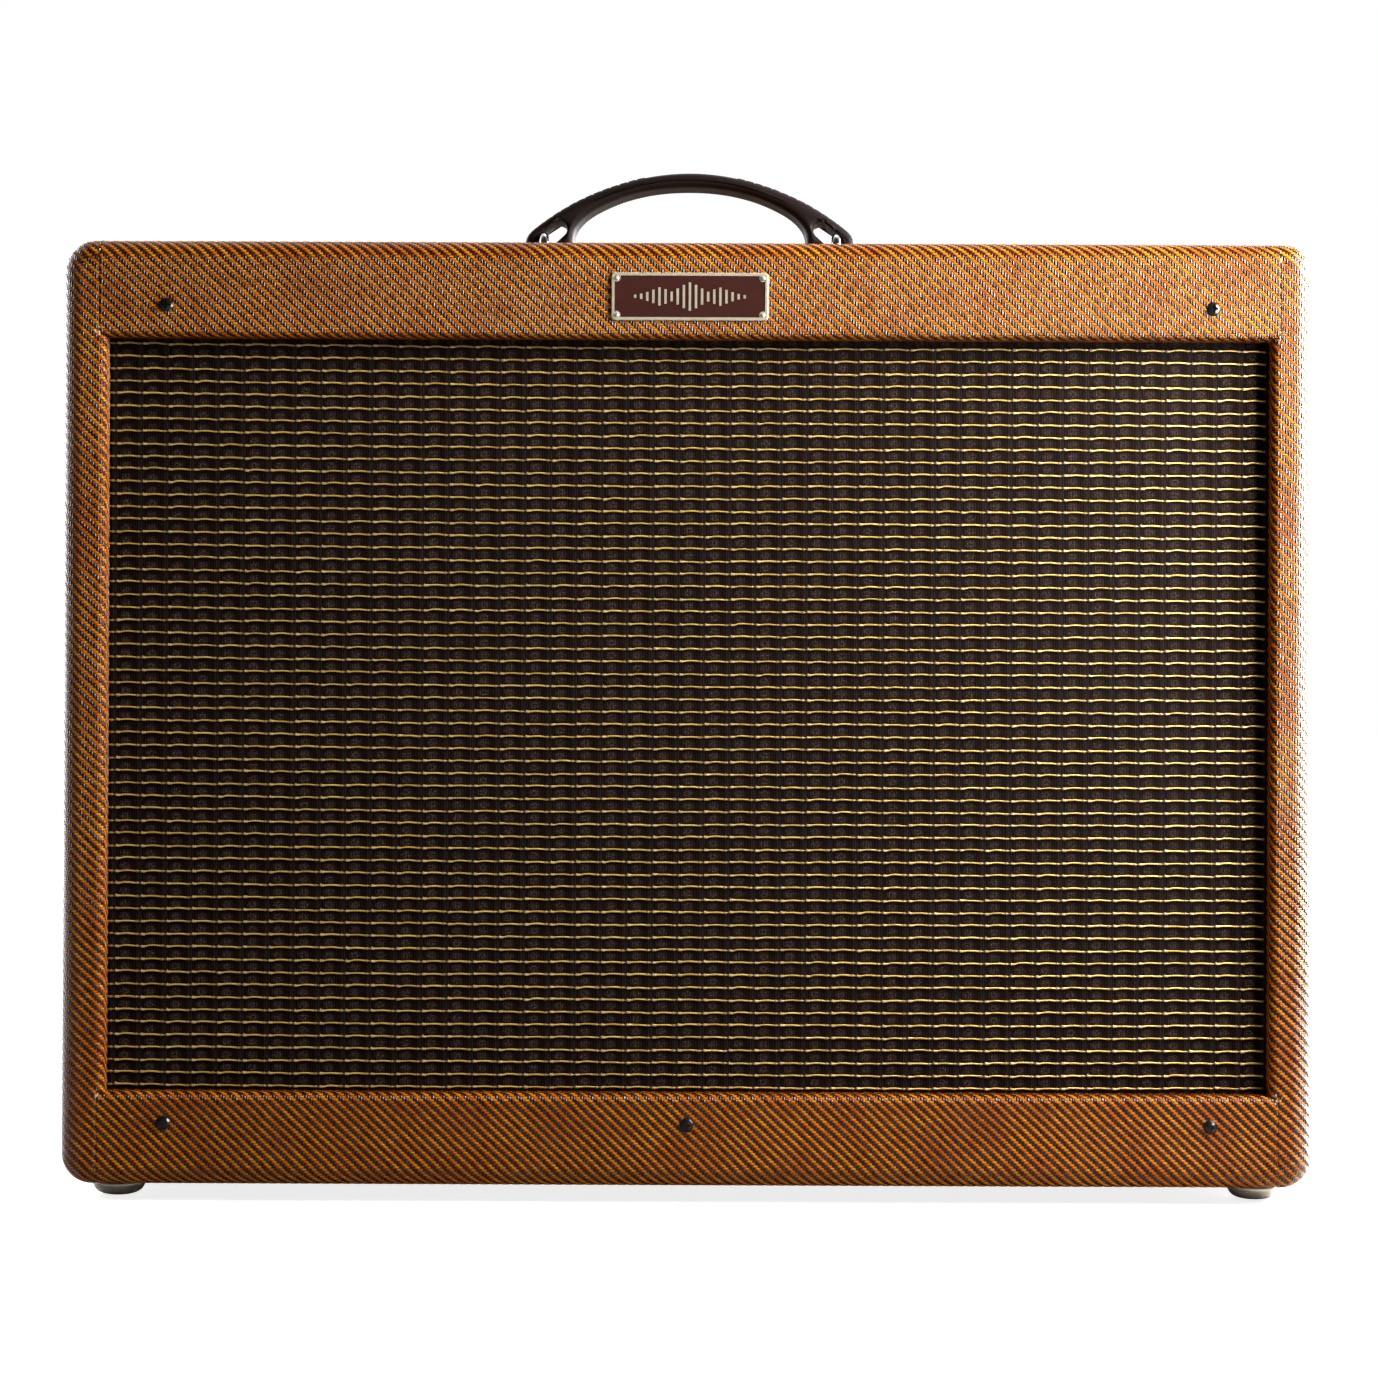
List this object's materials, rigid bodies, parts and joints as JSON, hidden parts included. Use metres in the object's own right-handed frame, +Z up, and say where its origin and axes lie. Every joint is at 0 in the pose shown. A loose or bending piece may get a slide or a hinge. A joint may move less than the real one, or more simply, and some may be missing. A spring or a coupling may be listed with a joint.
{
  "type": "guitar amplifier combo",
  "caption": "Tweed-covered open-back valve guitar amplifier: recessed woven grille, top carry handle, rear-top control panel with pointer knobs, speaker, valves and reverb tank.",
  "frame": {"origin": "on the floor under the middle of the cabinet, at the bottom centre of the bounding box", "axes": "+X to the right seen from the front, +Y towards the back, +Z up"},
  "size_m": [0.597, 0.2716, 0.5042],
  "materials": {
    "tweed": "lacquered woven twill",
    "pine": "bare pine",
    "plywood": "dark stained plywood",
    "grille_weave": "oxblood woven cloth with gold threads",
    "black_screw": "black oxide",
    "nickel": "bright nickel",
    "maroon_enamel": "gloss enamel",
    "handle_leather": "dark moulded leather",
    "chrome_trim": "polished",
    "black_rubber": "matt",
    "chrome_panel": "polished plate",
    "zinc_steel": "zinc plated",
    "cream_plastic": "aged cream",
    "black_plastic": "moulded",
    "switch_metal": "nickel plated",
    "red_jewel": "faceted red",
    "board_green": "fibreglass board",
    "transformer_black": "black enamel",
    "tube_glass": "clear glass",
    "shield_alu": "satin",
    "speaker_paint": "grey enamel",
    "cone_paper": "pressed paper pulp",
    "surround_cloth": "doped cloth"
  },
  "bodies": {
    "cabinet": {"tweed_top": "tweed", "tweed_bottom": "tweed", "tweed_left": "tweed", "tweed_right": "tweed", "tweed_back": "tweed", "top_panel": "pine", "bottom_panel": "pine", "side_panel_left": "pine", "side_panel_right": "pine", "front_rails": "pine", "cleats": "pine", "baffle_board": "plywood", "upper_back_panel": "plywood", "lower_back_panel": "plywood", "grille_cloth": "grille_weave", "front_screws": "black_screw", "nameplate_frame": "nickel", "nameplate_pins": "nickel", "nameplate_enamel": "maroon_enamel", "handle_brackets": "chrome_trim", "handle_screws": "chrome_trim", "glides": "chrome_trim", "chassis_bolts": "chrome_trim", "pilot_bezel": "chrome_trim", "back_panel_screws": "chrome_trim", "glide_pads": "black_rubber", "cables": "black_rubber", "control_panel": "chrome_panel", "chassis": "zinc_steel", "potentiometers": "zinc_steel", "speaker_bolts": "zinc_steel", "reverb_tank": "zinc_steel", "fuse_cap": "black_plastic", "tube_sockets": "black_plastic", "switch_bodies": "switch_metal", "jack_sockets": "switch_metal", "pilot_jewel": "red_jewel", "circuit_board": "board_green", "power_transformer": "transformer_black", "output_transformer": "transformer_black", "power_tubes": "tube_glass", "preamp_tube_shields": "shield_alu", "speaker_frame": "speaker_paint", "speaker_magnet": "speaker_paint", "speaker_surround": "surround_cloth"},
    "knob_volume_body": {"knob_volume": "cream_plastic"},
    "knob_drive_body": {"knob_drive": "cream_plastic"},
    "knob_treble_body": {"knob_treble": "cream_plastic"},
    "knob_bass_body": {"knob_bass": "cream_plastic"},
    "knob_middle_body": {"knob_middle": "cream_plastic"},
    "knob_master_body": {"knob_master": "cream_plastic"},
    "knob_reverb_body": {"knob_reverb": "cream_plastic"},
    "knob_presence_body": {"knob_presence": "cream_plastic"},
    "standby_toggle_body": {"standby_toggle": "switch_metal"},
    "power_toggle_body": {"power_toggle": "switch_metal"},
    "bright_button_body": {"bright_button": "black_plastic"},
    "drive_button_body": {"drive_button": "black_plastic"},
    "handle_body": {"handle_grip": "handle_leather"},
    "cone_body": {"speaker_cone": "cone_paper", "speaker_dust_cap": "cone_paper"}
  },
  "joints": [
    {"name": "volume_turn", "type": "hinge", "parent": "cabinet", "child": "knob_volume_body", "pos_m": [0.154, 0.071, 0.4394], "axis": [0, 0, 1], "range_deg": [-150, 150]},
    {"name": "drive_turn", "type": "hinge", "parent": "cabinet", "child": "knob_drive_body", "pos_m": [0.104, 0.071, 0.4394], "axis": [0, 0, 1], "range_deg": [-150, 150]},
    {"name": "treble_turn", "type": "hinge", "parent": "cabinet", "child": "knob_treble_body", "pos_m": [0.07, 0.071, 0.4394], "axis": [0, 0, 1], "range_deg": [-150, 150]},
    {"name": "bass_turn", "type": "hinge", "parent": "cabinet", "child": "knob_bass_body", "pos_m": [0.036, 0.071, 0.4394], "axis": [0, 0, 1], "range_deg": [-150, 150]},
    {"name": "middle_turn", "type": "hinge", "parent": "cabinet", "child": "knob_middle_body", "pos_m": [0.002, 0.071, 0.4394], "axis": [0, 0, 1], "range_deg": [-150, 150]},
    {"name": "master_turn", "type": "hinge", "parent": "cabinet", "child": "knob_master_body", "pos_m": [-0.032, 0.071, 0.4394], "axis": [0, 0, 1], "range_deg": [-150, 150]},
    {"name": "reverb_turn", "type": "hinge", "parent": "cabinet", "child": "knob_reverb_body", "pos_m": [-0.066, 0.071, 0.4394], "axis": [0, 0, 1], "range_deg": [-150, 150]},
    {"name": "presence_turn", "type": "hinge", "parent": "cabinet", "child": "knob_presence_body", "pos_m": [-0.1, 0.071, 0.4394], "axis": [0, 0, 1], "range_deg": [-150, 150]},
    {"name": "standby_flip", "type": "hinge", "parent": "cabinet", "child": "standby_toggle_body", "pos_m": [-0.212, 0.071, 0.4409], "axis": [1, 0, 0], "range_deg": [0, 24]},
    {"name": "power_flip", "type": "hinge", "parent": "cabinet", "child": "power_toggle_body", "pos_m": [-0.233, 0.071, 0.4409], "axis": [1, 0, 0], "range_deg": [0, 24]},
    {"name": "bright_press", "type": "slide", "parent": "cabinet", "child": "bright_button_body", "axis": [0, 0, 1], "range_m": [-0.0025, 0], "stiffness_N_per_m": 200},
    {"name": "drive_press", "type": "slide", "parent": "cabinet", "child": "drive_button_body", "axis": [0, 0, 1], "range_m": [-0.0025, 0], "stiffness_N_per_m": 200},
    {"name": "handle_lift", "type": "slide", "parent": "cabinet", "child": "handle_body", "axis": [0, 0, 1], "range_m": [0, 0.003]},
    {"name": "cone_travel", "type": "slide", "parent": "cabinet", "child": "cone_body", "axis": [0, 1, 0], "range_m": [-0.003, 0.003], "stiffness_N_per_m": 2500, "deforming": ["speaker_surround"]}
  ]
}
